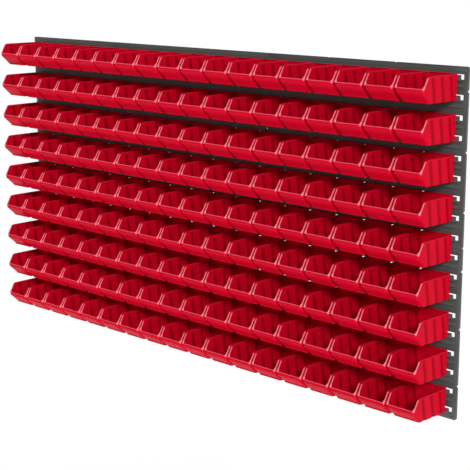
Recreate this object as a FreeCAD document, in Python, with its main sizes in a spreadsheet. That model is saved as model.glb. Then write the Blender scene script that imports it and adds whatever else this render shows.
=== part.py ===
import FreeCAD, Part
import os
import re
import Sketcher

# A wall rack of small parts bins. Six moulded louvre boards stand two high and three
# wide, and nine rows of open-front bins hang by a hook behind the boards' tongues.
# X runs right as seen from the front, Y runs into the wall and Z runs up.
# The origin is at the middle of the rack, on the wall.

SIZES = {
    # boards
    "board_width": 576,
    "board_height": 390,
    "board_slot_rows": 9,
    "board_tongues": 12,
    "corner_cut": 3,
    "rim_width": 10,
    "rim_front": 5.5,
    "plate_front": 4.5,
    "plate_back": 2,
    "slot_top_drop": 16.5,
    "slot_tall": 11,
    "slot_web": 3,
    "tongue_side_gap": 3.5,
    "tongue_thick": 2,
    "tongue_tall": 10,
    "tongue_slope": 6,
    "ridge_reach": 4,
    "ridge_tall": 9,
    "screw_hole_radius": 2.25,
    "screw_side_inset": 9,
    "screw_end_inset": 8,
    "notch_radius": 3,
    "notch_drop": 52,
    # how the bins are set out
    "bin_gap": 4.5,
    "left_margin": 6.5,
    "right_margin": 22,
    "slots_per_bin": 2,
    # one bin
    "bin_width": 77,
    "bin_depth": 117,
    "bin_height": 58,
    "bin_wall": 1.8,
    "bin_floor": 1.8,
    "lip_drop": 25,
    "lip_band": 8,
    "shoulder_setback": 14,
    "front_slope_run": 28,
    "side_taper": 0.8,
    "side_draft": 1.2,
    # the hook along the top of a bin's back
    "hook_thick": 2.5,
    "hook_leg": 7.5,
    "hook_leg_thick": 2.5,
    "hook_inset": 5,
    "hang_clearance": 0.5,
    "leg_clearance": 0.75,
}
ROWS = 9
BOARDS_UP = 2
WIDE_BOARDS = 2
GROUPS = {"left": 4, "middle": 7, "right": 6, "end": 1}
BINS_ACROSS = sum(GROUPS.values())

# Places that follow from the sizes
SLOT_PITCH = "(board_height / board_slot_rows)"
RACK_HEIGHT = f"{BOARDS_UP} * board_height"
BIN_PITCH = "(bin_width + bin_gap)"
RACK_WIDTH = f"(left_margin + {BINS_ACROSS} * {BIN_PITCH} - bin_gap + right_margin)"
SIDE_BOARD_WIDTH = f"({RACK_WIDTH} - {WIDE_BOARDS} * board_width)"
TONGUE_CELL = "((board_width - 2 * rim_width) / board_tongues)"
SIDE_BOARD_TONGUES = f"round(({SIDE_BOARD_WIDTH} - 2 * rim_width) / {TONGUE_CELL})"
SLOT_BOTTOM_DROP = "(slot_top_drop + slot_tall)"
LEG_BACK = "(rim_front + leg_clearance)"
LEG_FRONT = f"({LEG_BACK} + hook_leg_thick)"
TONGUE_BACK = f"({LEG_FRONT} + leg_clearance)"
TONGUE_FRONT = f"({TONGUE_BACK} + tongue_thick)"
RIM_DROP = f"({SLOT_BOTTOM_DROP} - tongue_tall - hang_clearance - hook_thick)"
BIN_BACK = f"({TONGUE_FRONT} + hang_clearance)"

doc = FreeCAD.newDocument("BinRack")
sheet = doc.addObject("Spreadsheet::Sheet", "sizes")
for line, (alias, number) in enumerate(SIZES.items(), start=1):
    sheet.set(f"A{line}", alias.replace("_", " "))
    sheet.set(f"B{line}", str(number))
    sheet.setAlias(f"B{line}", alias)
doc.recompute()

ALIASES = re.compile(r"\b(" + "|".join(SIZES) + r")\b")


def formula(text):
    """A formula on the sheet's aliases, as the document's expressions write it."""
    return ALIASES.sub(r"sizes.\1", str(text))


def number(text):
    """What a formula comes to now."""
    return float(sheet.evalExpression(formula(text)))


def bind(thing, **properties):
    """Tie properties to formulas; a dot in a property's path is written as two underscores."""
    for name, text in properties.items():
        thing.setExpression(name.replace("__", "."), formula(text))


def place(thing, x=0, y=0, z=0):
    """Tie a thing's place to three formulas."""
    for axis, text in zip("xyz", (x, y, z)):
        thing.setExpression(f".Placement.Base.{axis}", formula(text))


def tie_point(sketch, geometry, point, x, y):
    """Hold a point of a sketch at two formulas, measured from the sketch's origin."""
    for kind, text in (("DistanceX", x), ("DistanceY", y)):
        rule = Sketcher.Constraint(kind, -1, 1, geometry, point, number(text))
        sketch.setExpression(f"Constraints[{sketch.addConstraint(rule)}]", formula(text))


def polygon(sketch, corners):
    """A closed outline of straight lines through corners given as formulas."""
    spots = [FreeCAD.Vector(number(x), number(y), 0) for x, y in corners]
    lines = [
        sketch.addGeometry(Part.LineSegment(a, b))
        for a, b in zip(spots, spots[1:] + spots[:1])
    ]
    for line, following in zip(lines, lines[1:] + lines[:1]):
        sketch.addConstraint(Sketcher.Constraint("Coincident", line, 2, following, 1))
    for line, (x, y) in zip(lines, corners):
        tie_point(sketch, line, 1, x, y)


def rectangle(left, bottom, right, top):
    return [(left, bottom), (right, bottom), (right, top), (left, top)]


def cut_corners(left, bottom, right, top, cut):
    """A rectangle with its four corners cut off at 45 degrees."""
    return [
        (f"{left} + {cut}", bottom),
        (f"{right} - {cut}", bottom),
        (right, f"{bottom} + {cut}"),
        (right, f"{top} - {cut}"),
        (f"{right} - {cut}", top),
        (f"{left} + {cut}", top),
        (left, f"{top} - {cut}"),
        (left, f"{bottom} + {cut}"),
    ]


def circle(sketch, x, y, radius):
    """A circle with its centre and radius given as formulas."""
    centre = FreeCAD.Vector(number(x), number(y), 0)
    ring = sketch.addGeometry(
        Part.Circle(centre, FreeCAD.Vector(0, 0, 1), number(radius))
    )
    tie_point(sketch, ring, 3, x, y)
    rule = Sketcher.Constraint("Radius", ring, number(radius))
    sketch.setExpression(f"Constraints[{sketch.addConstraint(rule)}]", formula(radius))


def origin_item(body, role):
    return next(item for item in body.Origin.OriginFeatures if item.Role == role)


def body_sketch(body, name, role):
    """An empty sketch on one of a body's own planes."""
    sketch = body.newObject("Sketcher::SketchObject", name)
    sketch.AttachmentSupport = [(origin_item(body, role), "")]
    sketch.MapMode = "FlatFace"
    doc.recompute()
    return sketch


def pad(body, name, sketch, length, midplane=False):
    """Material from a sketch; on the XZ plane it grows towards the front."""
    made = body.newObject("PartDesign::Pad", name)
    made.Profile = sketch
    made.Midplane = midplane
    bind(made, Length=length)
    return made


def cut_through(body, name, sketch, length):
    """Take a sketch out of the body over a length both ways from its plane."""
    made = body.newObject("PartDesign::Pocket", name)
    made.Profile = sketch
    made.Midplane = True
    bind(made, Length=f"2 * ({length})")
    return made


def pattern(body, name, features, across, down):
    """Repeat features to the right and down; each is a pitch and a count, as formulas."""
    made = body.newObject("PartDesign::LinearPattern", name)
    made.Originals = features
    made.Direction = (origin_item(body, "X_Axis"), [""])
    made.Direction2 = (origin_item(body, "Z_Axis"), [""])
    made.Reversed2 = True
    made.Mode = made.Mode2 = "Spacing"
    made.Spacings = made.Spacings2 = [-1.0]  # -1 takes every step from Offset
    bind(made, Offset=across[0], Occurrences=across[1])
    bind(made, Offset2=down[0], Occurrences2=down[1])
    body.Tip = made
    return made


# ---- louvre board ----


def louvre_board(name, width, tongues):
    """One moulded board, its top left corner at the origin and its back on the wall."""
    body = doc.addObject("PartDesign::Body", name)
    low = "-board_height"
    inside = rectangle("rim_width", f"{low} + rim_width", f"{width} - rim_width", "-rim_width")

    outline = body_sketch(body, f"{name}_outline", "XZ_Plane")
    polygon(outline, cut_corners("0", low, width, "0", "corner_cut"))
    pad(body, f"{name}_slab", outline, "rim_front")

    back = body_sketch(body, f"{name}_back_outline", "XZ_Plane")
    polygon(back, inside)
    cut_through(body, f"{name}_back_recess", back, "plate_back")

    front = body_sketch(body, f"{name}_front_outline", "XZ_Plane")
    front.AttachmentOffset = FreeCAD.Placement(
        FreeCAD.Vector(0, 0, number("rim_front")), FreeCAD.Rotation()
    )
    bind(front, AttachmentOffset__Base__z="rim_front")
    polygon(front, inside)
    cut_through(body, f"{name}_front_recess", front, "rim_front - plate_front")

    edges = body_sketch(body, f"{name}_hole_outline", "XZ_Plane")
    for x in ("screw_side_inset", f"{width} - screw_side_inset"):
        for y in ("-screw_end_inset", f"{low} + screw_end_inset"):
            circle(edges, x, y, "screw_hole_radius")
    for third in range(3):
        for x in ("0", width):
            circle(edges, x, f"-notch_drop - {third} * board_height / 3", "notch_radius")
    for third in (1, 2):
        for y in ("0", low):
            circle(edges, f"{third} * {width} / 3", y, "notch_radius")
    cut_through(body, f"{name}_holes", edges, "2 * rim_front")

    ridge = body_sketch(body, f"{name}_ridge_outline", "YZ_Plane")
    ridge.AttachmentOffset = FreeCAD.Placement(
        FreeCAD.Vector(0, 0, number(f"{width} / 2")), FreeCAD.Rotation()
    )
    bind(ridge, AttachmentOffset__Base__z=f"{width} / 2")
    polygon(
        ridge,
        [
            ("-plate_back", f"-{SLOT_PITCH} + ridge_tall"),
            ("-plate_front", f"-{SLOT_PITCH} + ridge_tall"),
            ("-plate_front - ridge_reach", f"-{SLOT_PITCH}"),
            ("-plate_back", f"-{SLOT_PITCH}"),
        ],
    )
    ridge_bar = pad(body, f"{name}_ridge", ridge, f"{width} - 2 * rim_width", midplane=True)
    pattern(
        body,
        f"{name}_ridges",
        [ridge_bar],
        across=(width, 1),
        down=(SLOT_PITCH, "board_slot_rows - 1"),
    )

    cell = f"(({width} - 2 * rim_width) / {tongues})"
    slot = body_sketch(body, f"{name}_slot_outline", "XZ_Plane")
    slot_left = "rim_width + slot_web / 2"
    slot_right = f"rim_width + {cell} - slot_web / 2"
    polygon(
        slot,
        rectangle(slot_left, f"-{SLOT_BOTTOM_DROP}", slot_right, "-slot_top_drop"),
    )
    slot_cut = cut_through(body, f"{name}_slot", slot, "2 * rim_front")

    tongue = body_sketch(body, f"{name}_tongue_outline", "YZ_Plane")
    middle = f"rim_width + {cell} / 2"
    tongue.AttachmentOffset = FreeCAD.Placement(
        FreeCAD.Vector(0, 0, number(middle)), FreeCAD.Rotation()
    )
    bind(tongue, AttachmentOffset__Base__z=middle)
    root = f"-{SLOT_BOTTOM_DROP}"
    polygon(
        tongue,
        [
            ("-plate_back", root),
            ("-plate_back", f"{root} - tongue_slope"),
            ("-plate_front", f"{root} - tongue_slope"),
            (f"-{TONGUE_FRONT}", f"{root} - tongue_thick / 2"),
            (f"-{TONGUE_FRONT}", f"{root} + tongue_tall"),
            (f"-{TONGUE_BACK}", f"{root} + tongue_tall"),
            (f"-{TONGUE_BACK}", root),
        ],
    )
    tongue_width = f"{cell} - slot_web - 2 * tongue_side_gap"
    tongue_bar = pad(body, f"{name}_tongue", tongue, tongue_width, midplane=True)
    pattern(
        body,
        f"{name}_tongues",
        [slot_cut, tongue_bar],
        across=(cell, tongues),
        down=(SLOT_PITCH, "board_slot_rows"),
    )
    return body


# ---- hanging bin ----


def free_sketch(name, corners, side_view):
    """An outline outside any body: side_view looks along X, else it looks along Y."""
    sketch = doc.addObject("Sketcher::SketchObject", name)
    turn = FreeCAD.Rotation(90, 0, 90) if side_view else FreeCAD.Rotation(0, 0, 90)
    sketch.Placement = FreeCAD.Placement(FreeCAD.Vector(), turn)
    polygon(sketch, corners)
    return sketch


def side_bar(name, corners, width):
    """A side view carried across the bin, half of width to each side."""
    made = doc.addObject("Part::Extrusion", name)
    made.Base = free_sketch(f"{name}_outline", corners, side_view=True)
    made.DirMode = "Custom"
    made.Dir = FreeCAD.Vector(1, 0, 0)
    made.Solid = True
    made.Symmetric = True
    bind(made, LengthFwd=width)
    return made


def tapered_block(name, half_width, low, high):
    """A block that narrows evenly towards the front and towards the floor.

    Each half is a front view carried forwards and inwards; the two halves overlap.
    """
    at_low = f"{half_width} + ({low}) * side_draft / bin_height"
    at_high = f"{half_width} + ({high}) * side_draft / bin_height"
    corners = [("0", low), (at_low, low), (at_high, high), ("0", high)]
    half = doc.addObject("Part::Extrusion", f"{name}_half")
    half.Base = free_sketch(f"{name}_outline", corners, side_view=False)
    half.DirMode = "Custom"
    half.Solid = True
    bind(half, Dir__x="-side_taper", Dir__y="-bin_depth", Dir__z="0")
    twin = doc.addObject("Part::Mirroring", f"{name}_twin")
    twin.Source = half
    twin.Normal = FreeCAD.Vector(1, 0, 0)
    return join("Part::MultiFuse", name, [half, twin])


def join(kind, name, pieces):
    """A fuse or a common of several pieces."""
    made = doc.addObject(kind, name)
    made.Shapes = pieces
    made.Refine = True
    return made


def hanging_bin():
    """One bin, its origin at the middle of the top of its back wall's outside."""
    outside = side_bar(
        "bin_side_view",
        [
            ("0", "0"),
            ("0", "-bin_height"),
            ("-bin_depth + front_slope_run", "-bin_height"),
            ("-bin_depth", "-lip_drop - lip_band"),
            ("-bin_depth", "-lip_drop"),
            ("-bin_depth + shoulder_setback", "0"),
        ],
        "bin_width",
    )
    shell = join(
        "Part::MultiCommon",
        "bin_shell",
        [outside, tapered_block("bin_plan", "bin_width / 2", "-bin_height", "0")],
    )
    slope_tall = "(bin_height - lip_drop - lip_band)"
    slope_left = f"front_slope_run * (1 - bin_floor / {slope_tall})"
    floor_front = f"-bin_depth + {slope_left} + bin_wall"
    inside = side_bar(
        "cavity_side_view",
        [
            ("-bin_wall", "bin_wall"),
            ("-bin_wall", "-bin_height + bin_floor"),
            (floor_front, "-bin_height + bin_floor"),
            ("-bin_depth + bin_wall", "-lip_drop - lip_band"),
            ("-bin_depth + bin_wall", "bin_wall"),
        ],
        "bin_width",
    )
    cavity = join(
        "Part::MultiCommon",
        "bin_cavity",
        [
            inside,
            tapered_block(
                "cavity_plan",
                "(bin_width / 2 - bin_wall)",
                "-bin_height + bin_floor",
                "bin_wall",
            ),
        ],
    )
    cup = doc.addObject("Part::Cut", "bin_cup")
    cup.Base = shell
    cup.Tool = cavity
    cup.Refine = True

    leg_front = f"({BIN_BACK} - {LEG_FRONT})"
    leg_back = f"({BIN_BACK} - {LEG_BACK})"
    hook = side_bar(
        "bin_hook",
        [
            ("-bin_wall / 2", "0"),
            ("-bin_wall / 2", "-hook_thick"),
            (leg_front, "-hook_thick"),
            (leg_front, "-hook_thick - hook_leg"),
            (leg_back, "-hook_thick - hook_leg"),
            (leg_back, "0"),
        ],
        "bin_width - 2 * hook_inset",
    )
    return join("Part::MultiFuse", "hanging_bin", [cup, hook])


# ---- the rack ----


def copies(name, master, places):
    """A sub-part: copies of one master, each at a place given by three formulas."""
    links = []
    for index, (x, y, z) in enumerate(places, start=1):
        link = doc.addObject("App::Link", f"{name}_copy_{index}")
        link.LinkedObject = master
        place(link, x, y, z)
        links.append(link)
    made = doc.addObject("Part::Compound", name)
    made.Label = name
    made.Links = links
    return made


subparts = []
wide_board = louvre_board("wide_board", "board_width", "board_tongues")
side_board = louvre_board("side_board", SIDE_BOARD_WIDTH, SIDE_BOARD_TONGUES)
one_bin = hanging_bin()

LEFT_EDGE = f"-{RACK_WIDTH} / 2"
BOARD_COLUMNS = {
    "left": (side_board, LEFT_EDGE),
    "middle": (wide_board, f"{LEFT_EDGE} + {SIDE_BOARD_WIDTH}"),
    "right": (wide_board, f"{LEFT_EDGE} + {SIDE_BOARD_WIDTH} + board_width"),
}
for tier, level in (("upper", 0), ("lower", 1)):
    for column, (master, left) in BOARD_COLUMNS.items():
        top = f"{RACK_HEIGHT} / 2 - {level} * board_height"
        subparts.append(copies(f"board_{tier}_{column}", master, [(left, 0, top)]))

for row in range(ROWS):
    rim = f"{RACK_HEIGHT} / 2 - {RIM_DROP} - {row} * slots_per_bin * {SLOT_PITCH}"
    first = 0
    for group, count in GROUPS.items():
        spots = [
            (f"{LEFT_EDGE} + left_margin + bin_width / 2 + {first + step} * {BIN_PITCH}",
             f"-{BIN_BACK}", rim)
            for step in range(count)
        ]
        name = f"row_{row + 1}_end_bin" if count == 1 else f"row_{row + 1}_bins_{group}"
        subparts.append(copies(name, one_bin, spots))
        first += count
doc.recompute()

# ---- checks and files ----

for thing in doc.Objects:
    if {"Invalid", "Error"} & set(thing.State):
        raise RuntimeError(f"{thing.Name} failed: {thing.State}")
for part in subparts:
    if part.Shape.isNull() or not part.Shape.isValid():
        raise RuntimeError(f"{part.Label} has no valid shape")
    if any(not solid.isValid() or solid.Volume <= 0 for solid in part.Shape.Solids):
        raise RuntimeError(f"{part.Label} has a bad solid")

os.makedirs("parts", exist_ok=True)
for part in subparts:
    part.Shape.exportStep(f"parts/{part.Label}.step")
    print(part.Label, len(part.Shape.Solids), round(part.Shape.Volume / 1000, 1), "cm3")
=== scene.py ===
import math
import bmesh
import bpy
import numpy as np
from mathutils import Matrix, Vector


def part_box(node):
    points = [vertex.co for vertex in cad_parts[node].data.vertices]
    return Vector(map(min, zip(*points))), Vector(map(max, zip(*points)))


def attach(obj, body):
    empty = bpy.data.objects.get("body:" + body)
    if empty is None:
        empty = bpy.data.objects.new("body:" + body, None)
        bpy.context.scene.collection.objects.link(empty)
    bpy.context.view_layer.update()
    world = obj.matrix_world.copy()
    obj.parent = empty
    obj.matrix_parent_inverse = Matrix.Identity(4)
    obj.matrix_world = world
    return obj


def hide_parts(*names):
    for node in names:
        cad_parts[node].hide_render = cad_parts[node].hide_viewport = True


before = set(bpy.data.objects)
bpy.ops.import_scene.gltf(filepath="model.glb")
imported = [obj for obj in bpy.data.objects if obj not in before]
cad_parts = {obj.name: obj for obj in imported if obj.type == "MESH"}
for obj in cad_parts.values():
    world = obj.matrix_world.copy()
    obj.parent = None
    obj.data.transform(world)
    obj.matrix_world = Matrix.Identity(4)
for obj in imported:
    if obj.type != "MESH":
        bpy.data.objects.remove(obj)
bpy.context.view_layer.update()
mm = 0.001
print("frame loaded:", len(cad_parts), "nodes")


def meshObject(name, points, faces):
    # points is an array of places in metres, faces an array of corner numbers, 4 to a row
    mesh = bpy.data.meshes.new(name)
    mesh.vertices.add(len(points))
    mesh.vertices.foreach_set("co", np.ascontiguousarray(points, np.float32).ravel())
    mesh.loops.add(faces.size)
    mesh.loops.foreach_set("vertex_index", np.ascontiguousarray(faces, np.int32).ravel())
    mesh.polygons.add(len(faces))
    mesh.polygons.foreach_set("loop_start", np.arange(0, faces.size, 4, dtype=np.int32))
    mesh.polygons.foreach_set("use_smooth", np.ones(len(faces), bool))
    mesh.update(calc_edges=True)
    mesh.validate()
    piece = bpy.data.objects.new(name, mesh)
    bpy.context.scene.collection.objects.link(piece)
    return piece


def stripBetween(lower, upper, closed=True):
    # quads between two rows of vertex numbers of the same length
    nextLower, nextUpper = np.roll(lower, -1), np.roll(upper, -1)
    quads = np.stack([lower, nextLower, nextUpper, upper], axis=1)
    return quads if closed else quads[:-1]


class Nodes:
    # a small wrapper that keeps material code short
    def __init__(self, name):
        self.material = bpy.data.materials.new(name)
        self.material.use_nodes = True
        self.tree = self.material.node_tree
        self.shader = self.tree.nodes["Principled BSDF"]
        self.place = self.add("ShaderNodeTexCoord").outputs["Object"]

    def add(self, kind, **settings):
        node = self.tree.nodes.new(kind)
        for key, value in settings.items():
            setattr(node, key, value)
        return node

    def join(self, output, socket):
        self.tree.links.new(output, socket)

    def mark(self, name):
        # a value that the mesh carries at each point
        return self.add("ShaderNodeAttribute", attribute_name=name).outputs["Fac"]

    def noise(self, scale, detail=2.0, rough=0.5):
        node = self.add("ShaderNodeTexNoise")
        node.inputs["Scale"].default_value = scale
        node.inputs["Detail"].default_value = detail
        node.inputs["Roughness"].default_value = rough
        self.join(self.place, node.inputs["Vector"])
        return node.outputs["Fac"]

    def spread(self, value, low, high):
        # a 0 to 1 value taken to the range low to high
        node = self.add("ShaderNodeMapRange")
        node.inputs["To Min"].default_value = low
        node.inputs["To Max"].default_value = high
        self.join(value, node.inputs["Value"])
        return node.outputs["Result"]

    def blendColours(self, factor, first, second):
        node = self.add("ShaderNodeMix", data_type="RGBA")
        for socket, colour in ((node.inputs[6], first), (node.inputs[7], second)):
            if isinstance(colour, tuple):
                socket.default_value = (*colour, 1)
            else:
                self.join(colour, socket)
        self.join(factor, node.inputs[0])
        return node.outputs[2]

    def bump(self, height, strength, distance, below=None):
        node = self.add("ShaderNodeBump")
        node.inputs["Strength"].default_value = strength
        node.inputs["Distance"].default_value = distance
        self.join(height, node.inputs["Height"])
        if below is not None:
            self.join(below, node.inputs["Normal"])
        return node.outputs["Normal"]


binFinish = {
    "red": (0.68, 0.0006, 0.022),
    "deepRed": (0.60, 0.0005, 0.018),
    # painted shade: a darker red laid into the flutes and on the front slope
    "fluteShadeRed": (0.34, 0.0004, 0.008),
    # painted highlight: a pale pink laid along the rims, the lip's corners, the fold and the foot
    "paintedHighlightRed": (1.0, 0.28, 0.34),
    "lipHighlight": 0.52,              # share of the painted highlight on the lip's roll
    "slopeHighlight": 0.66,            # on the roll from the shoulder down to the lip
    "backHighlight": 0.12,
    "sideHighlight": 0.03,
    "cornerHighlight": 0.8,            # painted highlight added where the lip meets the sides
    "outerShare": 0.6,            # how much of these the roll's outer side has
    "foldHighlight": 0.12,             # painted highlight where the lip band ends and the front slope begins
    "footHighlight": 0.2,              # painted highlight where the front slope ends
    "fluteShadePower": 1.2,            # higher keeps the painted flute shade nearer to a flute's middle
    "slopeShade": 0.3,            # share of painted shade on the front slope
    "cloudScale": 14,
    "roughScale": 60,
    "roughLow": 0.38,
    "roughHigh": 0.50,
    "specular": 0.04,
    "ior": 1.49,
    "grainScale": 900,
    "grainStrength": 0.10,
    "grainDepth": 0.2 * mm,
    "waveScale": 35,
    "waveStrength": 0.12,
    "waveDepth": 0.8 * mm,
}


def makeBinPlastic(finish):
    made = Nodes("binPlastic")
    cloud = made.noise(finish["cloudScale"], detail=3)
    body = made.blendColours(cloud, finish["red"], finish["deepRed"])
    # painted shade: the flutes and the front slope take a darker red
    body = made.blendColours(made.mark("fluteShade"), body, finish["fluteShadeRed"])
    # painted highlight: rims, corners, fold and foot take a pale pink
    colour = made.blendColours(made.mark("paintedHighlight"), body, finish["paintedHighlightRed"])
    made.join(colour, made.shader.inputs["Base Color"])
    patches = made.noise(finish["roughScale"], detail=4)
    rough = made.spread(patches, finish["roughLow"], finish["roughHigh"])
    made.join(rough, made.shader.inputs["Roughness"])
    grain = made.bump(made.noise(finish["grainScale"], detail=2),
                      finish["grainStrength"], finish["grainDepth"])
    wave = made.bump(made.noise(finish["waveScale"], detail=2),
                     finish["waveStrength"], finish["waveDepth"], below=grain)
    made.join(wave, made.shader.inputs["Normal"])
    made.shader.inputs["IOR"].default_value = finish["ior"]
    made.shader.inputs["Specular IOR Level"].default_value = finish["specular"]
    return made.material


boardFinish = {
    "grey": (0.084, 0.104, 0.098),
    "darkGrey": (0.062, 0.077, 0.072),
    "cloudScale": 9,
    "roughScale": 45,
    "roughLow": 0.46,
    "roughHigh": 0.60,
    "ior": 1.50,
    "grainScale": 1400,
    "grainStrength": 0.25,
    "grainDepth": 0.25 * mm,
}


def makeBoardPlastic(finish):
    made = Nodes("boardPlastic")
    cloud = made.noise(finish["cloudScale"], detail=5, rough=0.6)
    colour = made.blendColours(cloud, finish["grey"], finish["darkGrey"])
    made.join(colour, made.shader.inputs["Base Color"])
    patches = made.noise(finish["roughScale"], detail=5)
    rough = made.spread(patches, finish["roughLow"], finish["roughHigh"])
    made.join(rough, made.shader.inputs["Roughness"])
    grain = made.bump(made.noise(finish["grainScale"], detail=3),
                      finish["grainStrength"], finish["grainDepth"])
    made.join(grain, made.shader.inputs["Normal"])
    made.shader.inputs["IOR"].default_value = finish["ior"]
    return made.material


binPlastic = makeBinPlastic(binFinish)
boardPlastic = makeBoardPlastic(boardFinish)
print("materials made")


binShape = {
    "width": 77 * mm,
    "gap": 4.5 * mm,              # between two bins of a row
    "depth": 117 * mm,
    "height": 58 * mm,
    "wall": 1.8 * mm,
    "lipDrop": 25 * mm,
    "lipBand": 8 * mm,
    "shoulderSetback": 14 * mm,
    "shoulderRound": 2.5 * mm,
    "frontSlopeRun": 28 * mm,
    "sideTaper": 0.8 * mm,
    "sideDraft": 1.2 * mm,
    "backCorner": 3.5 * mm,
    "frontCorner": 4.5 * mm,
    "floorRound": 3.5 * mm,
    "sideRimRadius": 1.15 * mm,   # the rolled top edge along the sides and the back
    "frontRimRadius": 1.65 * mm,  # from the shoulder down to the lip
    "lipRimRadius": 1.3 * mm,
    "cornerBump": 1.0 * mm,       # where the lip meets the sides the roll is fatter
    "rimNeck": 1.0 * mm,          # plain wall between the roll and the flutes
    "flutePlaces": (23 * mm, 55 * mm, 87 * mm),
    "fluteWidth": 15 * mm,
    "fluteDepth": 1.8 * mm,
    "fluteLean": 11 * mm,         # how far a flute's foot lies behind its top
    "fluteStart": 1.2 * mm,       # below the rim
    "fluteFade": 2.5 * mm,
    # where the mesh has its lines
    "cornerSteps": 5,
    "straightShares": (0.3, 0.75),  # of half the back's and half the front's straight part
    "fluteShares": (-1.15, -1.0, -0.7, -0.35, 0.0, 0.35, 0.7, 1.0, 1.15),  # of half a flute
    "shoulderSteps": (-3 * mm, -1 * mm, 0.5 * mm, 2 * mm, 5 * mm, 8 * mm),
    "dropShares": (0.0, 0.055, 0.11, 0.19, 0.23, 0.6, 1.0),  # from the neck to the floor round
    "foldRing": 4,                # the drop share at which the lip band ends
    "floorBends": (30, 60, 90),   # degrees
    "rollAngles": (180, 140, 90, 40, 0),  # degrees, from the roll's inner side to its outer
}


def halfPlan(shape):
    # The right half of the bin seen from above, from the back's middle to the front's, as
    # rows of: share of the straight part across, corner radius, bend across, place along
    # the depth, outward normal across and towards the wall, and depth of a flute: a
    # parabola over the flute's width, zero elsewhere.
    depth, back, front = shape["depth"], shape["backCorner"], shape["frontCorner"]
    turn = np.radians(np.linspace(90, 0, shape["cornerSteps"]))
    straight = np.array(shape["straightShares"])
    across = np.array(shape["fluteShares"])
    side = (np.array(shape["flutePlaces"])[:, None] + across * shape["fluteWidth"] / 2).ravel()
    groove = np.tile(np.clip(1 - across ** 2, 0, None), len(shape["flutePlaces"]))
    shoulder = depth - shape["shoulderSetback"] + np.array(shape["shoulderSteps"])
    side, groove = np.append(side, shoulder), np.append(groove, 0 * shoulder)
    flat, full = 0 * straight, 1 + 0 * straight
    level, bent = 0 * turn, 1 + 0 * turn
    even, sideOnes = 0 * side, 1 + 0 * side
    stretches = [
        (straight, back + flat, flat, flat, flat, full, flat),
        (bent, back + level, np.cos(turn), back * (1 - np.sin(turn)),
         np.cos(turn), np.sin(turn), level),
        (sideOnes, back + even, sideOnes, side, sideOnes, even, groove),
        (bent, front + level, np.sin(turn), depth - front * (1 - np.cos(turn)),
         np.sin(turn), -np.cos(turn), level),
        (straight[::-1], front + flat, flat, depth + flat, flat, -full, flat),
    ]
    return np.concatenate([np.stack(one, 1) for one in stretches])


def wholePlan(shape):
    # the half plan followed by its mirror image, as columns
    half = halfPlan(shape)
    columns = np.concatenate([half, half[::-1]]).T
    columns[4] *= np.repeat([1.0, -1.0], len(half))  # the outward normal across
    return columns


def frontPart(shape, along, normalX, normalY):
    # Which places lie in front of the shoulder, and how near each is to a front corner's
    # diagonal: the square of the sine of twice the normal's angle.
    inFront = along > shape["depth"] - shape["shoulderSetback"]
    return inFront, np.where(inFront, (2 * normalX * normalY) ** 2, 0)


def edgeDrop(shape, along):
    # How far the bin's top edge lies below the rim: nothing up to the shoulder, then a
    # straight fall, joined to it by a hyperbola, down to the lip and level along it.
    past = along - (shape["depth"] - shape["shoulderSetback"])
    fall = (past + np.sqrt(past ** 2 + shape["shoulderRound"] ** 2)) / 2
    return np.minimum(fall * shape["lipDrop"] / shape["shoulderSetback"], shape["lipDrop"])


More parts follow.
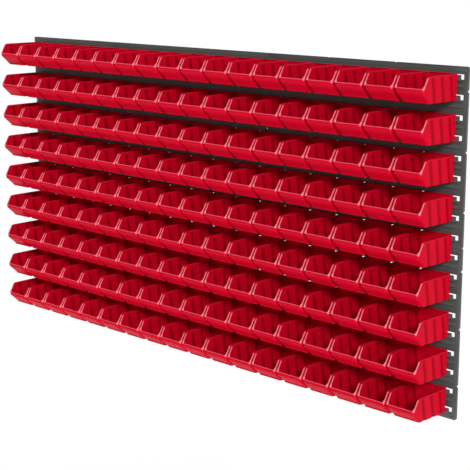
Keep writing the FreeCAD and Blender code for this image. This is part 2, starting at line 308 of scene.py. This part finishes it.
def binSurface(shape):
    # The walls are a grid of rings: round the plan one way, and the other way down the
    # outside, under the floor's edge, and up the inside to the rolled rim. Going down, the
    # width narrows by the draft, the flutes slide back by their lean, and the part in
    # front of them closes up to the front wall, which slopes back below the lip band.
    # Ladders of quads close the floor inside and outside.
    share, radius, bend, along, normalX, normalY, groove = wholePlan(shape)
    count = len(along)
    side = np.repeat([1.0, -1.0], count // 2)
    height, depth, wall = shape["height"], shape["depth"], shape["wall"]
    bandEnd = shape["lipDrop"] + shape["lipBand"]
    lastFlute = shape["flutePlaces"][-1] + shape["fluteShares"][-1] * shape["fluteWidth"] / 2
    inFront, corner = frontPart(shape, along, normalX, normalY)
    rimRadius = np.where(inFront, shape["frontRimRadius"], shape["sideRimRadius"])
    rimRadius = np.where(inFront & (normalX == 0), shape["lipRimRadius"], rimRadius)
    rimRadius = rimRadius + shape["cornerBump"] * corner
    top = edgeDrop(shape, along) + rimRadius

    def ringAt(drop, inward):
        # Across the bin a ring is moved inwards by the second value. Along the depth it is
        # moved outwards, so at the front and the back the inside's rings lie furthest out.
        slope = shape["frontSlopeRun"] * np.clip(drop - bandEnd, 0, None) / (height - bandEnd)
        lean = shape["fluteLean"] * drop / height
        closing = (depth - slope - lastFlute + lean) / (depth - lastFlute)
        backShare = np.clip(along / shape["flutePlaces"][0], 0, 1)
        y = np.where(along > lastFlute, lastFlute - lean + (along - lastFlute) * closing,
                     along - lean * backShare)
        half = shape["width"] / 2 - shape["sideTaper"] * y / depth
        half = half - shape["sideDraft"] * drop / height
        fade = np.clip((drop - top - shape["fluteStart"]) / shape["fluteFade"], 0, 1)
        x = side * (share * (half - radius) + radius * bend)
        x = x - normalX * (inward + shape["fluteDepth"] * groove * fade)
        return np.stack([x, normalY * inward - y, -drop + 0 * x], 1)

    def wallRings(bottom, bendRadius, inward):
        # down a wall from the neck, then round the quarter circle to the floor
        neck = top + shape["rimNeck"]
        rings = [ringAt(neck + (bottom - neck) * step, inward) for step in shape["dropShares"]]
        for turn in np.radians(shape["floorBends"]):
            drop = bottom + bendRadius * np.sin(turn) + 0 * top
            rings.append(ringAt(drop, inward + bendRadius * (1 - np.cos(turn))))
        return rings

    innerRound = shape["floorRound"] - wall / 2
    outside = wallRings(height - shape["floorRound"], shape["floorRound"], 0)
    inside = wallRings(height - wall - innerRound, innerRound, wall)
    rings = outside + inside[::-1]
    outerFloor, innerFloor = len(outside) - 1, len(outside)

    # the roll is a half circle about the wall's middle, square to the edge's run
    centre = ringAt(top, wall / 2)
    tangent = np.roll(centre, -1, 0) - np.roll(centre, 1, 0)
    outward = np.stack([normalX, normalY, 0 * normalX], 1)
    upward = np.cross(outward, tangent)
    upward *= np.sign(upward[:, 2:3])
    upward /= np.linalg.norm(upward, axis=1, keepdims=True)
    for angle in np.radians(shape["rollAngles"]):
        turn = np.cos(angle) * outward + np.sin(angle) * upward
        rings.append(centre + rimRadius[:, None] * turn)

    points = np.concatenate(rings)
    index = np.arange(len(points)).reshape(len(rings), count)
    faces = [stripBetween(index[i], index[(i + 1) % len(rings)])
             for i in range(len(rings)) if i != outerFloor]
    right = np.arange(count // 2)
    left = count - 1 - right
    for ring, order in ((index[outerFloor], 1), (index[innerFloor], -1)):
        faces.append(stripBetween(ring[right], ring[left], closed=False)[:, ::order])
    return points, np.concatenate(faces)


def binMarks(shape, finish):
    # For each point of binSurface, how much painted highlight it gets on the rims, corners,
    # fold and foot, and how much painted shade it gets in the flutes and on the front slope.
    # The painted shade is darkest along a flute's middle and fades out at its top and towards the
    # floor.
    along, normalX, normalY, groove = wholePlan(shape)[3:]
    inFront, corner = frontPart(shape, along, normalX, normalY)
    squareOn = 0.9  # a normal's least part along the depth on the back and on the front
    lip = normalY < -squareOn
    floorStart = len(shape["dropShares"])
    innerFloor = floorStart + len(shape["floorBends"])
    outerFloor, firstRoll = innerFloor - 1, 2 * innerFloor
    ringCount = firstRoll + len(shape["rollAngles"])

    # painted highlight: the share of pale pink that the rolled rim takes at each place round the
    # bin
    frontHighlight = np.where(normalX == 0, finish["lipHighlight"], finish["slopeHighlight"])
    otherHighlight = np.where(normalY > squareOn, finish["backHighlight"], finish["sideHighlight"])
    highlightShare = np.where(inFront, frontHighlight, otherHighlight) + finish["cornerHighlight"] * corner
    highlightShare = np.clip(highlightShare, 0, 1)
    # painted highlight on the rim's roll, at the lip's corners just below it, along the fold and
    # along the foot
    paintedHighlight = np.zeros((ringCount, len(along)))
    paintedHighlight[:2] = corner  # the two rings below the roll
    paintedHighlight[shape["foldRing"]] = finish["foldHighlight"] * lip
    paintedHighlight[floorStart] = finish["footHighlight"] * lip
    paintedHighlight[firstRoll + 1 : -1] = highlightShare
    paintedHighlight[-1] = finish["outerShare"] * highlightShare

    # painted shade, darkest along each flute's middle, with a share of it on the front slope
    fluteShade = np.tile(groove ** finish["fluteShadePower"], (ringCount, 1))
    fluteShade[[0, outerFloor, innerFloor, firstRoll - 1]] = 0
    fluteShade[firstRoll:] = 0
    fluteShade[shape["foldRing"] + 1 : outerFloor] += finish["slopeShade"] * lip
    return {"paintedHighlight": paintedHighlight.ravel(), "fluteShade": fluteShade.ravel()}


hookShape = {
    "reach": 4.5 * mm,            # from the bin's back to the middle of the hanging leg
    "drop": 10 * mm,
    "thick": 2.5 * mm,
    "bendRadius": 2.0 * mm,
    "bendSteps": 6,
    "inset": 5 * mm,              # from each side of the bin
    "endRound": 0.5 * mm,
}


def hookSurface(shape, cup):
    # A strip whose middle line runs out of the back wall, bends through a quarter circle
    # and hangs down; half the thickness is added to each side of the line, and the strip
    # is carried across the bin with its last stretch at each end slightly shrunk.
    radius, half = shape["bendRadius"], shape["thick"] / 2
    turn = np.radians(np.linspace(90, 0, shape["bendSteps"]))
    lineY = np.concatenate([[-cup["wall"] / 2], shape["reach"] - radius * (1 - np.cos(turn)),
                            [shape["reach"]] * 2])
    lineZ = np.concatenate([[-half], -half - radius * (1 - np.sin(turn)),
                            [-shape["drop"] + half, -shape["drop"]]])
    normalY = np.concatenate([[0], np.cos(turn), [1, 1]])
    normalZ = np.concatenate([[1], np.sin(turn), [0, 0]])
    halfWidth = cup["width"] / 2 - shape["inset"]
    stations = ((-halfWidth, shape["endRound"]), (-halfWidth + shape["endRound"], 0),
                (halfWidth - shape["endRound"], 0), (halfWidth, shape["endRound"]))
    points = []
    for x, shrink in stations:
        for reach in (half - shrink, shrink - half):
            y, z = lineY + reach * normalY, lineZ + reach * normalZ
            one = np.stack([0 * y + x, y, z], 1)
            points.append(one if reach > 0 else one[::-1])
    count = 2 * len(lineY)
    index = np.arange(len(stations) * count).reshape(len(stations), count)
    faces = [stripBetween(index[i], index[i + 1]) for i in range(len(stations) - 1)]
    outer = np.arange(len(lineY))
    inner = count - 1 - outer
    for ring, order in ((index[0], -1), (index[-1], 1)):
        faces.append(stripBetween(ring[outer], ring[inner], closed=False)[:, ::order])
    return np.concatenate(points), np.concatenate(faces)


def faceOutwards(points, faces):
    # a closed surface whose enclosed volume comes out negative is turned round
    a, b, c, d = (points[faces[:, i]] for i in range(4))
    volume = np.einsum("ij,ij->", a, np.cross(b, c)) + np.einsum("ij,ij->", a, np.cross(c, d))
    return faces if volume > 0 else faces[:, ::-1]


def makeBins(node, onePoints, oneFaces, marks):
    # copies of one bin side by side, evenly spread over the box of the CAD node
    low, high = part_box(node)
    width, gap = binShape["width"], binShape["gap"]
    count = round((high[0] - low[0] + gap) / (width + gap))
    middle = np.linspace(low[0] + width / 2, high[0] - width / 2, count)
    place = np.array([[x, low[1] + binShape["depth"], high[2]] for x in middle])
    points = (onePoints[None] + place[:, None]).reshape(-1, 3)
    faces = oneFaces[None] + len(onePoints) * np.arange(count)[:, None, None]
    piece = meshObject(node + "_moulding", points, faces.reshape(-1, 4))
    for name, values in marks.items():
        mark = piece.data.attributes.new(name, "FLOAT", "POINT")
        mark.data.foreach_set("value", np.tile(values, count).astype(np.float32))
    piece.data.materials.append(binPlastic)
    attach(piece, node)
    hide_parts(node)


cupPoints, cupFaces = binSurface(binShape)
hookPoints, hookFaces = hookSurface(hookShape, binShape)
onePoints = np.concatenate([cupPoints, hookPoints])
oneFaces = np.concatenate([faceOutwards(cupPoints, cupFaces),
                           faceOutwards(hookPoints, hookFaces) + len(cupPoints)])
plain = np.zeros(len(hookPoints))
marks = {name: np.append(values, plain) for name, values in binMarks(binShape, binFinish).items()}
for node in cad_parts:
    if node.startswith("row_"):
        makeBins(node, onePoints, oneFaces, marks)
print("bins made,", 2 * len(oneFaces), "triangles each")


boardEdges = {
    "weld": 0.01 * mm,
    "flatWithin": 0.5,            # degrees
    "round": 0.45 * mm,
    "roundSteps": 2,
    "sharpFrom": 30,              # degrees between two faces
}


def makeBoard(node, edges):
    # the CAD board welded, cleared of lines inside flat faces, and with its edges eased
    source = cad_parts[node]
    mesh = bpy.data.meshes.new(node + "_moulding")
    work = bmesh.new()
    work.from_mesh(source.data)
    bmesh.ops.remove_doubles(work, verts=work.verts, dist=edges["weld"])
    bmesh.ops.dissolve_limit(work, angle_limit=math.radians(edges["flatWithin"]),
                             verts=work.verts, edges=work.edges)
    work.to_mesh(mesh)
    work.free()
    piece = bpy.data.objects.new(node + "_moulding", mesh)
    bpy.context.scene.collection.objects.link(piece)
    mesh.polygons.foreach_set("use_smooth", np.ones(len(mesh.polygons), bool))
    eased = piece.modifiers.new("easedEdges", "BEVEL")
    eased.width = edges["round"]
    eased.segments = edges["roundSteps"]
    eased.limit_method = "ANGLE"
    eased.angle_limit = math.radians(edges["sharpFrom"])
    eased.harden_normals = True
    mesh.materials.clear()
    mesh.materials.append(boardPlastic)
    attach(piece, "boards")
    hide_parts(node)


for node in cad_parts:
    if node.startswith("board_"):
        makeBoard(node, boardEdges)
print("boards made")


studio = {
    "floorBelow": 6.0,            # metres
    "floorReach": 1500,           # metres, each way
    "floorColour": (0.95, 0.95, 0.95),
    "floorCloudScale": 0.6,
    "floorCloudTone": 0.99,       # of the floor's colour
    "floorRoughness": 0.9,
    "floorGlow": 0.44,
    "skyLight": 0.36,             # what the sky gives the object
    "skySeen": 1.0,               # what the sky looks like
    "sunAzimuth": 50,             # degrees to the right of straight in front
    "sunElevation": 25,           # degrees
    "sunDistance": 4,             # metres
    "sunPower": 1.9,
    "sunAngle": 14,               # degrees across, for soft shadows
}

cameraView = {
    "place": (2.294, -2.286, 0.616),
    "aim": (0.0566, 0.0, -0.0738),
    "lens": 99.0,                 # millimetres
    "farthest": 5000,             # metres
}


def facing(place, aim):
    # a place with the local -Z axis towards the aim
    turn = (Vector(aim) - Vector(place)).to_track_quat("-Z", "Y").to_matrix().to_4x4()
    return Matrix.Translation(place) @ turn


def makeFloor(settings):
    reach, level = settings["floorReach"], -settings["floorBelow"]
    corners = np.array([(-reach, -reach, level), (reach, -reach, level),
                        (reach, reach, level), (-reach, reach, level)])
    floor = meshObject("floor", corners, np.array([[0, 1, 2, 3]]))
    paint = Nodes("floorPaint")
    cloud = paint.noise(settings["floorCloudScale"], detail=3)
    clouded = tuple(settings["floorCloudTone"] * part for part in settings["floorColour"])
    shade = paint.blendColours(cloud, settings["floorColour"], clouded)
    paint.join(shade, paint.shader.inputs["Base Color"])
    paint.shader.inputs["Roughness"].default_value = settings["floorRoughness"]
    paint.shader.inputs["Emission Color"].default_value = (1, 1, 1, 1)
    paint.shader.inputs["Emission Strength"].default_value = settings["floorGlow"]
    floor.data.materials.append(paint.material)


def makeSun(settings):
    distance = settings["sunDistance"]
    azimuth = math.radians(settings["sunAzimuth"])
    elevation = math.radians(settings["sunElevation"])
    place = (distance * math.sin(azimuth) * math.cos(elevation),
             -distance * math.cos(azimuth) * math.cos(elevation), distance * math.sin(elevation))
    lamp = bpy.data.lights.new("keyLight", "SUN")
    lamp.energy = settings["sunPower"]
    lamp.angle = math.radians(settings["sunAngle"])
    holder = bpy.data.objects.new("keyLight", lamp)
    holder.matrix_world = facing(place, (0, 0, 0))
    bpy.context.scene.collection.objects.link(holder)


def makeSky(settings):
    # one strength lights the object and another is what shows behind it
    sky = bpy.data.worlds.new("studioSky")
    sky.use_nodes = True
    tree = sky.node_tree
    lighting = tree.nodes["Background"]
    lighting.inputs["Strength"].default_value = settings["skyLight"]
    shown = tree.nodes.new("ShaderNodeBackground")
    shown.inputs["Strength"].default_value = settings["skySeen"]
    for background in (lighting, shown):
        background.inputs["Color"].default_value = (1, 1, 1, 1)
    path = tree.nodes.new("ShaderNodeLightPath")
    choice = tree.nodes.new("ShaderNodeMixShader")
    tree.links.new(path.outputs["Is Camera Ray"], choice.inputs[0])
    tree.links.new(lighting.outputs[0], choice.inputs[1])
    tree.links.new(shown.outputs[0], choice.inputs[2])
    tree.links.new(choice.outputs[0], tree.nodes["World Output"].inputs["Surface"])
    bpy.context.scene.world = sky


def makeCamera(settings):
    lens = bpy.data.cameras.new("camera")
    lens.lens = settings["lens"]
    lens.clip_end = settings["farthest"]
    holder = bpy.data.objects.new("camera", lens)
    holder.matrix_world = facing(settings["place"], settings["aim"])
    bpy.context.scene.collection.objects.link(holder)
    bpy.context.scene.camera = holder


makeFloor(studio)
makeSun(studio)
makeSky(studio)
bpy.context.scene.view_settings.view_transform = "Standard"
makeCamera(cameraView)
print("studio made")
